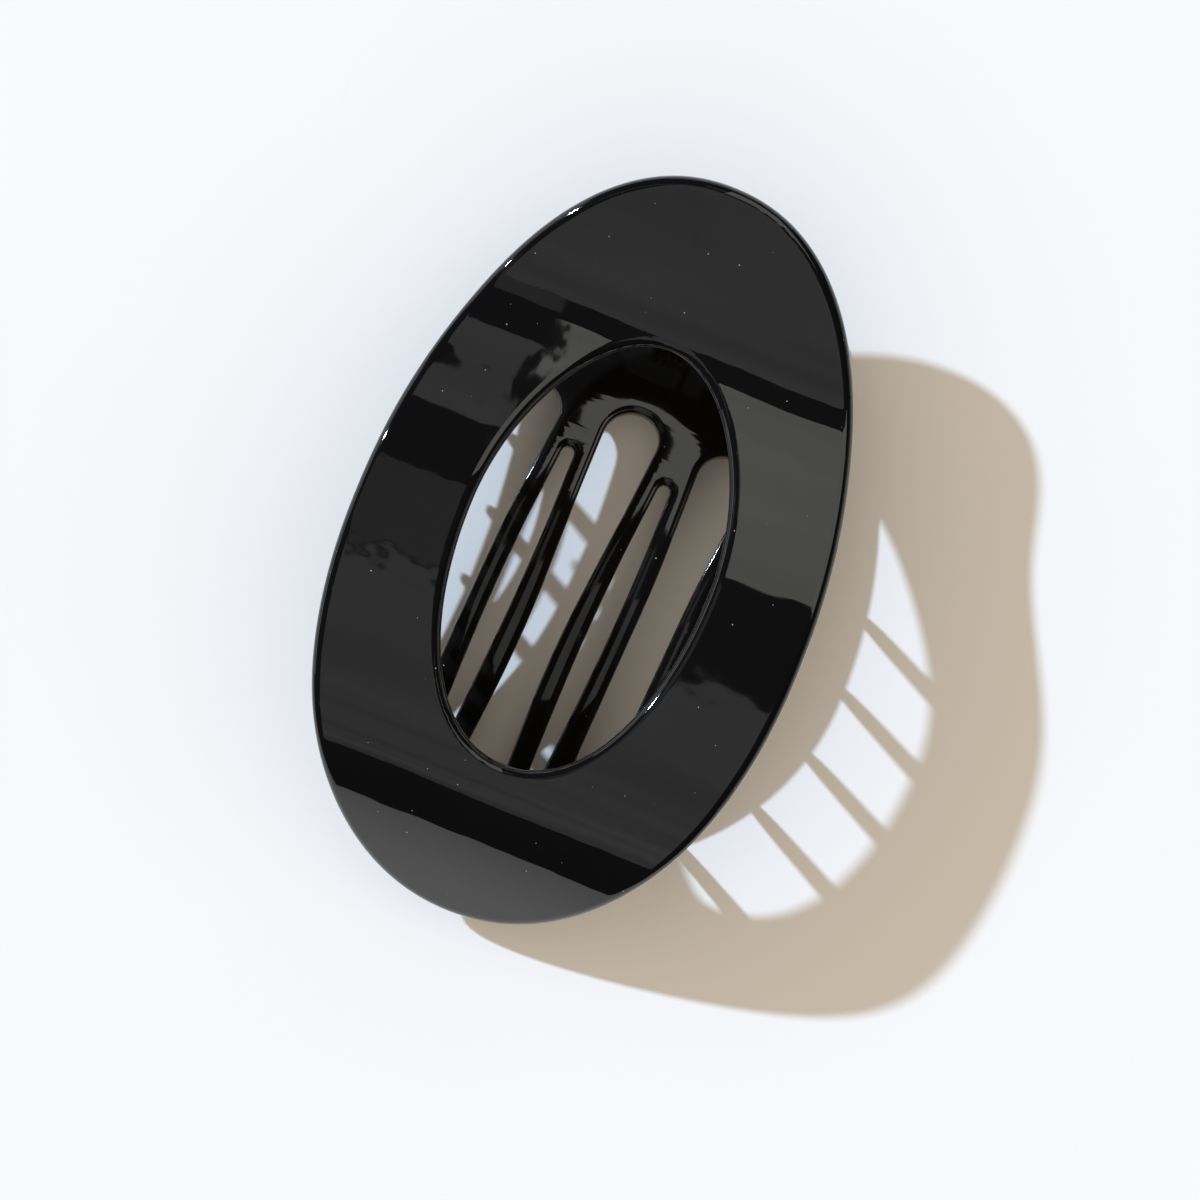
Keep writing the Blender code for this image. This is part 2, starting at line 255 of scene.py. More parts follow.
def cut_strips(slab, low, high, step):
    select_only(slab)
    bpy.ops.object.mode_set(mode="EDIT")
    for k in range(1, int((high - low) / step)):
        bpy.ops.mesh.select_all(action="SELECT")
        cut_y = (low + k * step) * MM
        bpy.ops.mesh.bisect(plane_co=(0, cut_y, 0), plane_no=(0, 1, 0), threshold=CUT_TOLERANCE * MM)
    bpy.ops.object.mode_set(mode="OBJECT")


def slope_at(height, y):
    return (height(y + SLOPE_STEP) - height(y - SLOPE_STEP)) / (2 * SLOPE_STEP)


def bend_to(slab, height):
    for vertex in slab.data.vertices:
        y = vertex.co.y / MM
        normal = Vector((0.0, -slope_at(height, y), 1.0)).normalized()
        vertex.co = Vector((vertex.co.x, vertex.co.y, height(y) * MM)) + normal * vertex.co.z


def finish_surface(obj, degrees):
    select_only(obj)
    bpy.ops.object.shade_smooth_by_angle(angle=math.radians(degrees))
    faces = sum(len(face.vertices) - 2 for face in obj.data.polygons)
    size = [f"{d / MM:.1f}" for d in obj.dimensions]
    print(f"{obj.name}: {faces} triangles, {' x '.join(size)} mm")


# %% [markdown]
# ## The plate
#
# The plate is the part one sees when the clip is worn. Its rims are rounded almost to a half circle, and the
# bright lines run there.

# %% Model the plate
PLATE_RIM_RADIUS, PLATE_RIM_SEGMENTS = 1.2, 6
PLATE_FLAT_INSET = 1.45
PLATE_CUT_LOW, PLATE_CUT_HIGH = -54.0, 54.0
plate_outlines = [egg_points(PLATE_EGG, 360), egg_points(WINDOW_EGG, 240)]
plate = flat_slab("plate_moulding", plate_outlines, PLATE_THICKNESS)
inset_flats(plate, PLATE_FLAT_INSET)
round_rims(plate, PLATE_RIM_RADIUS, PLATE_RIM_SEGMENTS)
cut_strips(plate, PLATE_CUT_LOW, PLATE_CUT_HIGH, STRIP_STEP)
bend_to(plate, plate_height)
print("plate faces:", len(plate.data.polygons))

# %% [markdown]
# ## The comb
#
# Behind the window lies the comb: wide and narrow slots by turns leave four tines in view and more behind
# the plate. Every tine is raised in small steps towards its middle, which shading turns into a soft ridge, so
# it mirrors thin lines instead of a wide band. The slots lean a little to the left towards the tip. The two
# outer slots lie behind the plate. They are cut after the ridges, because their tines are too thin to step.

# %% Slot outlines
HINGE_Y, HINGE_Z = 35.5, 13.0
SLOT_LEAN = 0.044
WIDE_SLOT = [(17.4, 3.9), (8.0, 3.5), (0.5, 3.05), (-10.0, 2.55), (-20.0, 2.6), (-32.0, 3.2)]
OUTER_WIDE_SLOT = [(16.8, 3.6), (8.0, 3.1), (0.5, 2.7), (-10.0, 2.6), (-26.5, 2.5)]
NARROW_SLOT = [(12.5, 0.9), (7.0, 1.15), (0.5, 1.4), (-10.0, 1.5), (-20.0, 1.3), (-31.0, 0.9)]
OUTER_NARROW_SLOT = [(9.0, 1.6), (4.0, 2.0), (-2.0, 2.0), (-9.0, 1.4)]


def half_width_at(stations, y):
    """The slot's half width between its stations, on a smooth curve."""
    for k in range(len(stations) - 1):
        (ya, ra), (yb, rb) = stations[k], stations[k + 1]
        if yb <= y <= ya:
            before = stations[max(k - 1, 0)]
            after = stations[min(k + 2, len(stations) - 1)]
            slope_a = (rb - before[1]) / (yb - before[0])
            slope_b = (after[1] - ra) / (after[0] - ya)
            t, span = (ya - y) / (ya - yb), yb - ya
            return (ra * (1 + 2 * t) * (1 - t) ** 2 + rb * t * t * (3 - 2 * t)
                    + span * (slope_a * t * (1 - t) ** 2 - slope_b * t * t * (1 - t)))
    return stations[-1][1]


def slot_points(centre_x, stations, count):
    """A closed outline: a round top, a left side going down, a round bottom and a right side going up."""
    (y_top, r_top), (y_low, r_low) = stations[0], stations[-1]
    arc = [math.pi * k / 24 for k in range(25)]
    sides = [y_top + (y_low - y_top) * k / 60 for k in range(1, 60)]
    points = [(r_top * math.cos(a), y_top + r_top * math.sin(a)) for a in arc]
    points += [(-half_width_at(stations, y), y) for y in sides]
    points += [(-r_low * math.cos(a), y_low - r_low * math.sin(a)) for a in arc]
    points += [(half_width_at(stations, y), y) for y in reversed(sides)]
    return even_points([(centre_x - SLOT_LEAN * (HINGE_Y - y) + x, y) for x, y in points], count)


SLOTS = [(0.0, WIDE_SLOT, 180), (7.2, NARROW_SLOT, 150), (-7.2, NARROW_SLOT, 150),
         (14.1, OUTER_WIDE_SLOT, 160), (-14.1, OUTER_WIDE_SLOT, 160),
         (21.0, OUTER_NARROW_SLOT, 90), (-21.0, OUTER_NARROW_SLOT, 90)]
slot_outlines = [slot_points(*slot) for slot in SLOTS]
print("slots:", len(slot_outlines))

# %% Model the comb
COMB_RIM_RADIUS, COMB_RIM_SEGMENTS = 0.4, 4
COMB_UNDERSIDE_INSET = 0.58
COMB_CUT_LOW, COMB_CUT_HIGH = -46.0, 52.0
TINE_STEPS = ((0.44, 0.0), (0.26, 0.13), (0.22, 0.06), (0.18, 0.015))
VISIBLE_SLOTS = 5
comb_outlines = [egg_points(COMB_EGG, 320)] + slot_outlines[:VISIBLE_SLOTS]
comb = flat_slab("comb_moulding", comb_outlines, COMB_THICKNESS)
edit_faces(comb, lambda centre, normal: normal.z > 0.9)
for width, depth in TINE_STEPS:
    bpy.ops.mesh.inset(thickness=width * MM, depth=depth * MM, use_even_offset=True)
edit_faces(comb, lambda centre, normal: normal.z < -0.9)
bpy.ops.mesh.inset(thickness=COMB_UNDERSIDE_INSET * MM, depth=0.0, use_even_offset=True)
bpy.ops.object.mode_set(mode="OBJECT")
outer_cutter = flat_slab("outer_cutter", slot_outlines[VISIBLE_SLOTS:], 4 * COMB_THICKNESS)
outer_cutter.location.z = 2 * COMB_THICKNESS * MM
boolean(comb, outer_cutter, "DIFFERENCE")
bpy.data.objects.remove(outer_cutter, do_unlink=True)
round_rims(comb, COMB_RIM_RADIUS, COMB_RIM_SEGMENTS)
cut_strips(comb, COMB_CUT_LOW, COMB_CUT_HIGH, STRIP_STEP)
bend_to(comb, comb_height)
print("comb faces:", len(comb.data.polygons))

# %% [markdown]
# ## The teeth
#
# Twenty teeth hang from the plate's edge, long and short by turns, and the left row is half a step off the
# right one. One tooth is modelled as a square bar with rounded edges. Each copy is then stretched from its
# root in the plate to its tip beside the comb.

# %% One tooth
bpy.ops.mesh.primitive_cube_add(size=1.0, location=(0, 0, 0.5))
tooth_master = new_primitive("tooth_master")
select_only(tooth_master)
bpy.ops.object.transform_apply(location=True, rotation=False, scale=False)
apply_modifier(tooth_master, "BEVEL", width=0.2, segments=4, limit_method="ANGLE")
select_only(tooth_master)
bpy.ops.object.mode_set(mode="EDIT")
for k in range(1, 8):
    bpy.ops.mesh.select_all(action="SELECT")
    bpy.ops.mesh.bisect(plane_co=(0, 0, k / 8), plane_no=(0, 0, 1))
bpy.ops.object.mode_set(mode="OBJECT")
print("tooth faces:", len(tooth_master.data.polygons))

# %% Copy the teeth along both edges
TEETH_PER_SIDE = 10
FIRST_TOOTH_Y, TOOTH_PITCH, TOOTH_LEAN = 14.5, 5.15, 0.35
TOOTH_ROOT_INSET = 2.6
TOOTH_ROOT_SIZE, TOOTH_TIP_SIZE = (2.2, 3.0), (1.3, 1.6)
TOOTH_OVERLAP, TOOTH_GAP, SHORT_SHARE = 1.6, 0.75, 0.40


def egg_half_width(egg, y):
    centre_y, half_width, tip_length, tip_power, tab_length, tab_power = egg
    length, power = (tab_length, tab_power) if y > centre_y else (tip_length, tip_power)
    return half_width * (1 - min(1.0, abs(y - centre_y) / length) ** power) ** (1 / power)


def tooth_line(y_tip, is_long):
    z_tip = comb_height(y_tip) - TOOTH_OVERLAP
    x_tip = egg_half_width(COMB_EGG, y_tip) + TOOTH_GAP + TOOTH_TIP_SIZE[0] / 2
    y_root = y_tip
    for _ in range(8):
        z_root = plate_height(y_root) - PLATE_THICKNESS / 2
        y_root = y_tip - TOOTH_LEAN * (z_root - z_tip)
    root = Vector((egg_half_width(PLATE_EGG, y_root) - TOOTH_ROOT_INSET, y_root, z_root))
    tip = Vector((x_tip, y_tip, z_tip))
    return root, tip if is_long else root.lerp(tip, SHORT_SHARE)


def copy_tooth(root, tip, side):
    select_only(tooth_master)
    bpy.ops.object.duplicate()
    tooth = bpy.context.object
    for vertex in tooth.data.vertices:
        t = vertex.co.z
        width = TOOTH_ROOT_SIZE[0] + (TOOTH_TIP_SIZE[0] - TOOTH_ROOT_SIZE[0]) * t
        depth = TOOTH_ROOT_SIZE[1] + (TOOTH_TIP_SIZE[1] - TOOTH_ROOT_SIZE[1]) * t
        place = root.lerp(tip, t) + Vector((vertex.co.x * width, vertex.co.y * depth, 0.0))
        vertex.co = Vector((place.x * side, place.y, place.z)) * MM
    return tooth


teeth = []
for side in (1, -1):
    for k in range(TEETH_PER_SIDE):
        is_long = (k % 2 == 1) == (side == 1)
        root, tip = tooth_line(FIRST_TOOTH_Y - k * TOOTH_PITCH, is_long)
        teeth.append(copy_tooth(root, tip, side))
bpy.data.objects.remove(tooth_master, do_unlink=True)
teeth = join(teeth, "teeth")
edit_faces(teeth, lambda centre, normal: True)
bpy.ops.mesh.normals_make_consistent(inside=False)
bpy.ops.object.mode_set(mode="OBJECT")
print("teeth:", 2 * TEETH_PER_SIDE)

# %% [markdown]
# ## The hinge ears
#
# Under the plate, and on top of the comb's tab, two round ears carry the pin. An ear is a disc with a web
# that grows into the wall. Ears and teeth become one body with their moulding by a Boolean union, because they
# are moulded in one shot.

# %% Ears
PIN_RADIUS, PIN_CLEARANCE = 1.0, 0.3
EAR_RADIUS, EAR_THICKNESS, EAR_EMBED = 3.0, 2.2, 1.2
PLATE_EAR_X, COMB_EAR_X = 6.9, 9.6
PIN_HOLE_LENGTH = 28.0
MOULDING_SMOOTH_ANGLE = 32


def make_ear(name, centre_x, attach_z):
    """A disc on the hinge axis, its half that faces the wall pulled out as a web up to attach_z."""
    bpy.ops.mesh.primitive_cylinder_add(vertices=64, radius=EAR_RADIUS * MM, depth=EAR_THICKNESS * MM,
                                        rotation=(0, math.pi / 2, 0),
                                        location=(centre_x * MM, HINGE_Y * MM, HINGE_Z * MM))
    ear = new_primitive(name)
    bpy.ops.object.transform_apply(location=True, rotation=True, scale=True)
    towards = 1 if attach_z > HINGE_Z else -1
    for vertex in ear.data.vertices:
        if (vertex.co.z / MM - HINGE_Z) * towards > -0.01:
            vertex.co.z = attach_z * MM
    select_only(ear)
    bpy.ops.object.mode_set(mode="EDIT")
    bpy.ops.mesh.select_all(action="SELECT")
    bpy.ops.mesh.dissolve_degenerate(threshold=0.001 * MM)
    bpy.ops.mesh.normals_make_consistent(inside=False)
    bpy.ops.object.mode_set(mode="OBJECT")
    return ear


def add_body(obj, tool):
    boolean(obj, tool, "UNION")
    bpy.data.objects.remove(tool, do_unlink=True)


add_body(plate, teeth)
plate_wall, comb_wall = plate_height(HINGE_Y) - EAR_EMBED, comb_height(HINGE_Y) - EAR_EMBED
plate_ears = [make_ear(f"plate_ear_{x}", x, plate_wall) for x in (-PLATE_EAR_X, PLATE_EAR_X)]
comb_ears = [make_ear(f"comb_ear_{x}", x, comb_wall) for x in (-COMB_EAR_X, COMB_EAR_X)]
add_body(plate, join(plate_ears, "plate_ears"))
add_body(comb, join(comb_ears, "comb_ears"))
bpy.ops.mesh.primitive_cylinder_add(vertices=48, radius=(PIN_RADIUS + PIN_CLEARANCE) * MM,
                                    depth=PIN_HOLE_LENGTH * MM,
                                    rotation=(0, math.pi / 2, 0), location=(0, HINGE_Y * MM, HINGE_Z * MM))
pin_hole = new_primitive("pin_hole")
boolean(plate, pin_hole, "DIFFERENCE")
boolean(comb, pin_hole, "DIFFERENCE")
bpy.data.objects.remove(pin_hole, do_unlink=True)
finish_surface(plate, MOULDING_SMOOTH_ANGLE)
finish_surface(comb, MOULDING_SMOOTH_ANGLE)

# %% [markdown]
# ## The pin
#
# A short length of drawn steel wire with both ends chamfered. It starts as a cylinder, and a Bevel turns the
# end edges.

# %% Model the pin
PIN_HALF_LENGTH = 11.2
PIN_FACE_INSET, PIN_CHAMFER = 0.3, 0.12
bpy.ops.mesh.primitive_cylinder_add(vertices=64, radius=PIN_RADIUS * MM, depth=2 * PIN_HALF_LENGTH * MM,
                                    rotation=(0, math.pi / 2, 0), location=(0, HINGE_Y * MM, HINGE_Z * MM))
pin = new_primitive("steel_pin")
bpy.ops.object.transform_apply(location=True, rotation=True, scale=True)
edit_faces(pin, lambda centre, normal: abs(normal.x) > 0.9)
bpy.ops.mesh.inset(thickness=PIN_FACE_INSET * MM, depth=PIN_CHAMFER * MM)
bpy.ops.object.mode_set(mode="OBJECT")
apply_modifier(pin, "BEVEL", width=PIN_CHAMFER * MM, segments=3, limit_method="ANGLE",
               angle_limit=math.radians(20))
finish_surface(pin, 40)

# %% [markdown]
# ## The spring
#
# Five turns of spring wire round the pin, with one leg up under the plate's tab and one down on the comb's
# tab. The coil's path is a curve, and the curve's round bevel is the wire.

# %% Model the spring
WIRE_RADIUS, COIL_RADIUS, COIL_TURNS, COIL_PITCH = 0.45, 2.1, 5, 1.15
LEG_END_Y, LEG_HOOK, CONTACT_GAP = 47.0, 2.0, 0.3
CORNER_REACH, CORNER_SIDE, CORNER_DROP = 0.5, 0.1, 0.12


def leg_end(height, side, thickness):
    slant = math.hypot(1.0, slope_at(height, LEG_END_Y))
    return height(LEG_END_Y) - side * (thickness + CONTACT_GAP + WIRE_RADIUS) * slant


def tangent_angle(end_z, side):
    dy, dz = LEG_END_Y - HINGE_Y, end_z - HINGE_Z
    return math.atan2(dz, dy) + side * math.acos(COIL_RADIUS / math.hypot(dy, dz))


upper_z, lower_z = leg_end(plate_height, 1, PLATE_THICKNESS), leg_end(comb_height, -1, 0.0)
coil_start = tangent_angle(upper_z, 1)
coil_stop = tangent_angle(lower_z, -1) + 2 * math.pi * COIL_TURNS
coil_width = COIL_PITCH * (coil_stop - coil_start) / (2 * math.pi)
COIL_STEPS = 40 * COIL_TURNS
LEG_STEPS = 12
coil_end_x = coil_width / 2
hook_y = LEG_END_Y - CORNER_DROP
path = [Vector((coil_end_x - LEG_HOOK, LEG_END_Y, upper_z)),
        Vector((coil_end_x - CORNER_REACH, LEG_END_Y, upper_z)),
        Vector((coil_end_x - CORNER_SIDE, hook_y, upper_z))]
coil = []
for k in range(COIL_STEPS + 1):
    angle = coil_start + (coil_stop - coil_start) * k / COIL_STEPS
    coil.append(Vector((coil_end_x - coil_width * k / COIL_STEPS,
                        HINGE_Y + COIL_RADIUS * math.cos(angle),
                        HINGE_Z + COIL_RADIUS * math.sin(angle))))
upper_end = Vector((coil_end_x, LEG_END_Y - CORNER_REACH, upper_z))
lower_end = Vector((-coil_end_x, LEG_END_Y - CORNER_REACH, lower_z))
path += [upper_end.lerp(coil[0], k / LEG_STEPS) for k in range(LEG_STEPS)] + coil
path += [coil[-1].lerp(lower_end, k / LEG_STEPS) for k in range(1, LEG_STEPS + 1)]
path += [Vector((CORNER_SIDE - coil_end_x, hook_y, lower_z)),
         Vector((CORNER_REACH - coil_end_x, LEG_END_Y, lower_z)),
         Vector((LEG_HOOK - coil_end_x, LEG_END_Y, lower_z))]

wire = bpy.data.curves.new("coil_spring", "CURVE")
wire.dimensions = "3D"
wire.bevel_depth = WIRE_RADIUS * MM
wire.bevel_resolution = 5
wire.use_fill_caps = True
spline = wire.splines.new("POLY")
spline.points.add(len(path) - 1)
for point, place in zip(spline.points, path):
    point.co = (*(place * MM), 1.0)
spring = bpy.data.objects.new("coil_spring", wire)
bpy.context.scene.collection.objects.link(spring)
select_only(spring)
bpy.ops.object.convert(target="MESH")
edit_faces(spring, lambda centre, normal: True)
bpy.ops.mesh.remove_doubles(threshold=0.001 * MM)
bpy.ops.mesh.normals_make_consistent(inside=False)
bpy.ops.object.mode_set(mode="OBJECT")
finish_surface(spring, 50)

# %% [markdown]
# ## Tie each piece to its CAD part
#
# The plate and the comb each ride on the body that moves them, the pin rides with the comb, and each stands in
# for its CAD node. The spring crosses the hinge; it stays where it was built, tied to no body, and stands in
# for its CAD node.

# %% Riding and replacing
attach(plate, "front_plate")
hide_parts("front_plate")
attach(comb, "back_jaw")
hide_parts("back_jaw")
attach(pin, "back_jaw")
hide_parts("hinge_pin")
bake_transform(spring)
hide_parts("torsion_spring")

# %% [markdown]
# ## Black gloss plastic
#
# Polished black plastic looks black because almost no light comes back out of it; what one sees is the room,
# mirrored at about four parts in a hundred. A mould is never quite flat, so the mirror image wavers: a slow
# wave of a few hundredths of a millimetre, a shorter swell and a fine ripple do that. Handling leaves faint
# hair scratches and a few specks of dust.

# %% Node helpers


def new_material(name):
    material = bpy.data.materials.new(name)
    material.use_nodes = True
    nodes = material.node_tree.nodes
    nodes.clear()
    output = nodes.new("ShaderNodeOutputMaterial")
    shader = nodes.new("ShaderNodeBsdfPrincipled")
    material.node_tree.links.new(shader.outputs["BSDF"], output.inputs["Surface"])
    return material, shader


def add_node(material, kind, inputs=None, **settings):
    node = material.node_tree.nodes.new(kind)
    for key, value in settings.items():
        setattr(node, key, value)
    for key, value in (inputs or {}).items():
        if isinstance(value, bpy.types.NodeSocket):
            material.node_tree.links.new(value, node.inputs[key])
        else:
            node.inputs[key].default_value = value
    return node


def noise(material, place, scale, detail=2.0, roughness=0.5, distortion=0.0):
    inputs = {"Vector": place, "Scale": scale, "Detail": detail, "Roughness": roughness,
              "Distortion": distortion}
    return add_node(material, "ShaderNodeTexNoise", inputs).outputs["Fac"]


def blend_colours(material, share, first, second):
    inputs = {0: share, 6: first, 7: second}
    return add_node(material, "ShaderNodeMix", inputs, data_type="RGBA").outputs[2]


def bumped(material, height, distance, below=None, strength=1.0):
    """A bump of a height in millimetres, laid over the bump below it."""
    inputs = {"Height": height, "Distance": distance * MM, "Strength": strength}
    if below:
        inputs["Normal"] = below
    return add_node(material, "ShaderNodeBump", inputs).outputs["Normal"]


def remap(material, value, low, high, to_low, to_high):
    return add_node(material, "ShaderNodeMapRange", {"Value": value, "From Min": low, "From Max": high,
                                                     "To Min": to_low, "To Max": to_high}).outputs["Result"]


def maths(material, operation, a, b):
    return add_node(material, "ShaderNodeMath", {0: a, 1: b}, operation=operation).outputs[0]


def stretched(material, place, scale, turn=0.0):
    return add_node(material, "ShaderNodeMapping", {"Vector": place, "Scale": scale,
                                                    "Rotation": (0.0, 0.0, turn)}).outputs["Vector"]


# %% The plastic
PLASTIC_IOR = 1.54
CLOUD_SCALE, CLOUD_LIGHTER = 45.0, 1.5
WAVE_SCALE, SWELL_SCALE, RIPPLE_SCALE = 85.0, 230.0, 900.0
SWELL_SHARE = 0.25
SMEAR_SCALE = 120.0
SCRATCH_ROUGHNESS = 0.10
SPECK_SCALE, SPECK_ROUGHNESS = 230.0, 0.5
SPECK_COLOUR = (0.33, 0.31, 0.28, 1.0)
PLATE_BLACK, COMB_BLACK = (0.0035, 0.0035, 0.0038, 1.0), (0.0045, 0.0042, 0.0040, 1.0)


def black_gloss(name, base, wave, ripple, roughness_low, roughness_high):
    material, shader = new_material(name)
    place = add_node(material, "ShaderNodeTexCoord").outputs["Object"]
    cloud = noise(material, place, CLOUD_SCALE, 3.0)
    cells = add_node(material, "ShaderNodeTexVoronoi",
                     {"Vector": place, "Scale": SPECK_SCALE, "Randomness": 1.0}, voronoi_dimensions="2D")
    split = add_node(material, "ShaderNodeSeparateColor", {"Color": cells.outputs["Color"]})
    cell_value = split.outputs["Red"]
    size = remap(material, cell_value, 0.72, 1.0, 0.0, 0.024)
    speck = maths(material, "LESS_THAN", cells.outputs["Distance"], size)
    scratch_field = noise(material, stretched(material, place, (2600.0, 60.0, 60.0), 0.5), 1.0, 1.0)
    scratch_zone = remap(material, noise(material, place, 70.0, 1.0), 0.56, 0.68, 0.0, 1.0)
    scratch_lines = remap(material, scratch_field, 0.70, 0.78, 0.0, 1.0)
    scratch = maths(material, "MULTIPLY", scratch_lines, scratch_zone)
    lighter = (*(CLOUD_LIGHTER * channel for channel in base[:3]), 1.0)
    dark = blend_colours(material, cloud, base, lighter)
    colour = blend_colours(material, speck, dark, SPECK_COLOUR)
    smear_field = noise(material, place, SMEAR_SCALE, 4.0, 0.6)
    smear = remap(material, smear_field, 0.35, 0.75, roughness_low, roughness_high)
    rough = maths(material, "ADD", smear, maths(material, "MULTIPLY", scratch, SCRATCH_ROUGHNESS))
    rough = maths(material, "ADD", rough, maths(material, "MULTIPLY", speck, SPECK_ROUGHNESS))
    slow = bumped(material, noise(material, place, WAVE_SCALE, 1.0), wave)
    middle = bumped(material, noise(material, place, SWELL_SCALE, 1.0), wave * SWELL_SHARE, slow)
    fine = bumped(material, noise(material, place, RIPPLE_SCALE, 2.0), ripple, middle)
    links = material.node_tree.links
    links.new(colour, shader.inputs["Base Color"])
    links.new(rough, shader.inputs["Roughness"])
    links.new(fine, shader.inputs["Normal"])
    shader.inputs["IOR"].default_value = PLASTIC_IOR
    return material


plate_plastic = black_gloss("polished_black_plastic", PLATE_BLACK, wave=0.080, ripple=0.0006,
                            roughness_low=0.02, roughness_high=0.05)
comb_plastic = black_gloss("moulded_black_plastic", COMB_BLACK, wave=0.020, ripple=0.0015,
                           roughness_low=0.04, roughness_high=0.09)
plate.data.materials.clear()
comb.data.materials.clear()
plate.data.materials.append(plate_plastic)
comb.data.materials.append(comb_plastic)
print("plastics:", plate_plastic.name, comb_plastic.name)

# %% [markdown]
# ## Steel
#
# The pin and the spring are drawn wire: bright, with fine lines along the wire and a little brown tint where
# the spring was tempered.

# %% The steels
GROOVE_DEPTH, GROOVE_STRENGTH = 0.004, 0.6


def drawn_steel(name, light, dark, roughness_low, roughness_high, grain):
    material, shader = new_material(name)
    place = add_node(material, "ShaderNodeTexCoord").outputs["Object"]
    stain = noise(material, place, 260.0, 3.0)
    lines = noise(material, stretched(material, place, grain), 1.0, 3.0)
    colour = blend_colours(material, stain, light, dark)
    rough = remap(material, lines, 0.3, 0.7, roughness_low, roughness_high)
    grooves = bumped(material, lines, GROOVE_DEPTH, strength=GROOVE_STRENGTH)
    links = material.node_tree.links
    links.new(colour, shader.inputs["Base Color"])
    links.new(rough, shader.inputs["Roughness"])
    links.new(grooves, shader.inputs["Normal"])
    shader.inputs["Metallic"].default_value = 1.0
    return material


pin_steel = drawn_steel("bright_pin_steel", light=(0.62, 0.61, 0.60, 1.0), dark=(0.48, 0.46, 0.44, 1.0),
                        roughness_low=0.16, roughness_high=0.32, grain=(300.0, 5000.0, 5000.0))
wire_steel = drawn_steel("tempered_spring_steel", light=(0.52, 0.51, 0.50, 1.0), dark=(0.34, 0.30, 0.26, 1.0),
                         roughness_low=0.22, roughness_high=0.40, grain=(4000.0, 2500.0, 2500.0))
pin.data.materials.clear()
spring.data.materials.clear()
pin.data.materials.append(pin_steel)
spring.data.materials.append(wire_steel)

# %% [markdown]
# ## The table
#
# A wide white board. Its paint is matt, a touch uneven, with the odd fine scuff.

# %% Table top
PAINT_DULL, PAINT_BRIGHT = (0.885, 0.885, 0.885, 1.0), (0.915, 0.915, 0.915, 1.0)
SCUFF_COLOUR = (0.70, 0.69, 0.67, 1.0)
bpy.ops.mesh.primitive_plane_add(size=3.0, location=(0, 0, 0))
table = new_primitive("table_top")
paint, paint_shader = new_material("matt_white_paint")
table_place = add_node(paint, "ShaderNodeTexCoord").outputs["Object"]
tone = noise(paint, table_place, 9.0, 4.0)
scuff_lines = noise(paint, stretched(paint, table_place, (420.0, 30.0, 1.0), 0.9), 1.0, 1.0, 0.5, 2.5)
scuff_zone = remap(paint, noise(paint, table_place, 14.0, 1.0), 0.55, 0.7, 0.0, 1.0)
scuff = maths(paint, "MULTIPLY", remap(paint, scuff_lines, 0.74, 0.82, 0.0, 0.18), scuff_zone)
paint_tone = blend_colours(paint, tone, PAINT_DULL, PAINT_BRIGHT)
paint_colour = blend_colours(paint, scuff, paint_tone, SCUFF_COLOUR)
paint.node_tree.links.new(paint_colour, paint_shader.inputs["Base Color"])
paint_shader.inputs["Roughness"].default_value = 0.75
paint_shader.inputs["Specular IOR Level"].default_value = 0.2
table.data.materials.append(paint)

# %% [markdown]
# ## Light
#
# One hard, cool lamp from the upper left draws the shadow; the warm bounce of the room fills it. Gloss needs
# more than light: it needs something to mirror. Dim cards above the clip, a grey one towards the tip and a
# brighter one towards the tab, give the plate its bands, and low cards at the sides draw lines on its rims.
# Everything between them stays black.

# %% Key lamp and room
KEY_TRAVEL = Vector((1.40, -0.36, -1.0)).normalized()
lamp = bpy.data.lights.new("key_lamp", "SUN")
lamp.energy = 3.5
lamp.color = (0.63, 0.79, 1.0)
lamp.angle = math.radians(1.8)
key = bpy.data.objects.new("key_lamp", lamp)
key.matrix_world = KEY_TRAVEL.to_track_quat("-Z", "Y").to_matrix().to_4x4()
bpy.context.scene.collection.objects.link(key)

ROOM_FILL = (0.66, 0.565, 0.455, 1.0)
ROOM_MIRRORED = (0.010, 0.010, 0.010, 1.0)
world = bpy.data.worlds.new("room")
world.use_nodes = True
bpy.context.scene.world = world
world_nodes, world_links = world.node_tree.nodes, world.node_tree.links
background = world_nodes["Background"]
path_kind = world_nodes.new("ShaderNodeLightPath")
room = world_nodes.new("ShaderNodeMix")
room.data_type = "RGBA"
room.inputs[6].default_value = ROOM_FILL
room.inputs[7].default_value = ROOM_MIRRORED
world_links.new(path_kind.outputs["Is Glossy Ray"], room.inputs[0])
world_links.new(room.outputs[2], background.inputs["Color"])


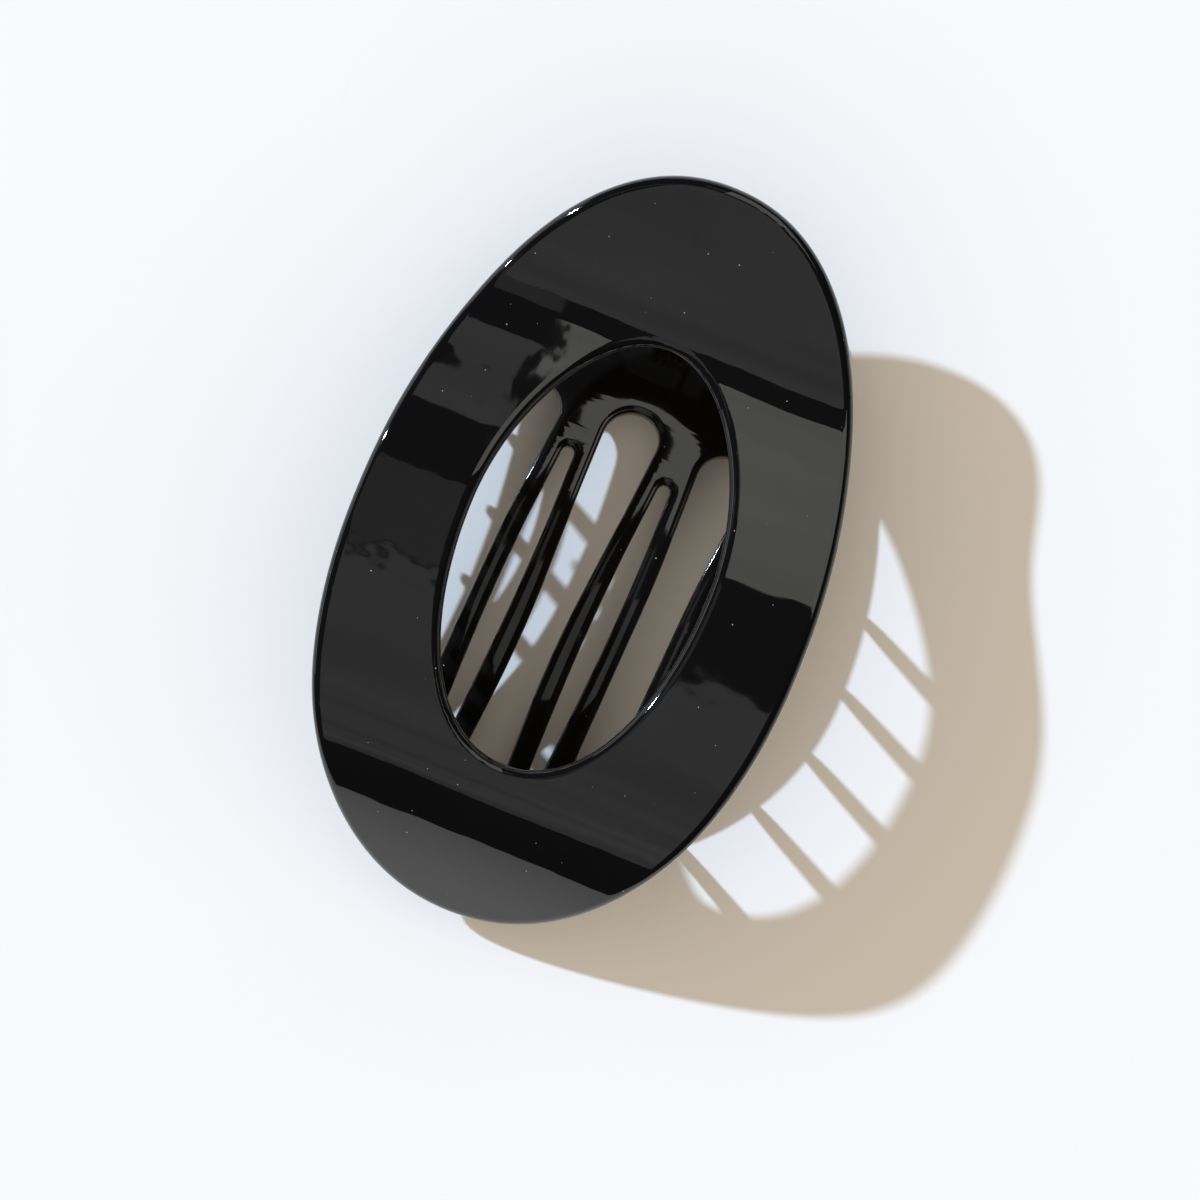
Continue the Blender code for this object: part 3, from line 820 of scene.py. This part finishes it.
def mirror_card(name, centre, size, lean, turn, brightness, tint, unevenness):
    """A dim card that only mirrors see: metres and degrees, its light even or a little patchy."""
    bpy.ops.mesh.primitive_plane_add(size=1.0, location=(0, 0, 0))
    card = new_primitive(name)
    card.scale = (size[0], size[1], 1.0)
    card.rotation_euler = (math.radians(lean), 0.0, math.radians(turn))
    card.location = centre
    select_only(card)
    bpy.ops.object.transform_apply(location=True, rotation=True, scale=True)
    card.visible_camera = card.visible_diffuse = card.visible_shadow = False
    material = bpy.data.materials.new(name)
    material.use_nodes = True
    nodes = material.node_tree.nodes
    nodes.clear()
    output = nodes.new("ShaderNodeOutputMaterial")
    glow = nodes.new("ShaderNodeEmission")
    glow.inputs["Color"].default_value = (*tint, 1.0)
    material.node_tree.links.new(glow.outputs["Emission"], output.inputs["Surface"])
    place = add_node(material, "ShaderNodeTexCoord").outputs["Object"]
    patchy = noise(material, place, 3.0, 2.0)
    level = remap(material, patchy, 0.3, 0.7, brightness * (1 - unevenness), brightness * (1 + unevenness))
    material.node_tree.links.new(level, glow.inputs["Strength"])
    card.data.materials.append(material)
    return card


NEUTRAL, WARM = (1.0, 1.0, 1.0), (1.0, 1.0, 0.95)
mirror_card("grey_card", (-0.02, -0.815, 1.0), (0.34, 1.57), 0, 0, 0.50, NEUTRAL, 0.28)
mirror_card("bright_card", (0.2725, 0.77, 1.0), (0.655, 1.18), 0, 0, 1.35, WARM, 0.12)
mirror_card("dim_card", (-0.33, 0.048, 1.0), (0.54, 0.152), 0, 0, 0.28, NEUTRAL, 0.12)
mirror_card("patch_card", (-0.13, 0.55, 1.0), (0.12, 0.16), 0, 8, 0.50, NEUTRAL, 0.12)
mirror_card("left_card", (-1.40, 0.0, 0.34), (1.60, 0.30), 90, 90, 1.6, NEUTRAL, 0.10)
mirror_card("right_card", (1.40, 0.2, 0.30), (1.60, 0.12), 90, 90, 1.0, NEUTRAL, 0.10)
mirror_card("back_card", (0.0, 1.45, 0.22), (1.60, 0.14), 90, 0, 0.9, NEUTRAL, 0.10)

# %% [markdown]
# ## Camera
#
# The clip is seen from almost straight above, turned 22 degrees in the picture, through a long lens.

# %% Camera
CAMERA_AT = Vector((9.49, -0.38, 546.3)) * MM
LOOKS_AT = Vector((3.84, -4.75, 26.3)) * MM
PICTURE_TURN = math.radians(-22.06)
lens = bpy.data.cameras.new("camera")
lens.lens = 115.8
lens.sensor_width = 36.0
lens.clip_start = 0.01
camera = bpy.data.objects.new("camera", lens)
backwards = (CAMERA_AT - LOOKS_AT).normalized()
rightwards = Vector((math.sin(PICTURE_TURN), math.cos(PICTURE_TURN), 0.0)).cross(backwards).normalized()
upwards = backwards.cross(rightwards)
facing = Matrix((rightwards, upwards, backwards)).transposed().to_4x4()
camera.matrix_world = Matrix.Translation(CAMERA_AT) @ facing
bpy.context.scene.collection.objects.link(camera)
bpy.context.scene.camera = camera
bpy.context.scene.view_settings.view_transform = "Standard"
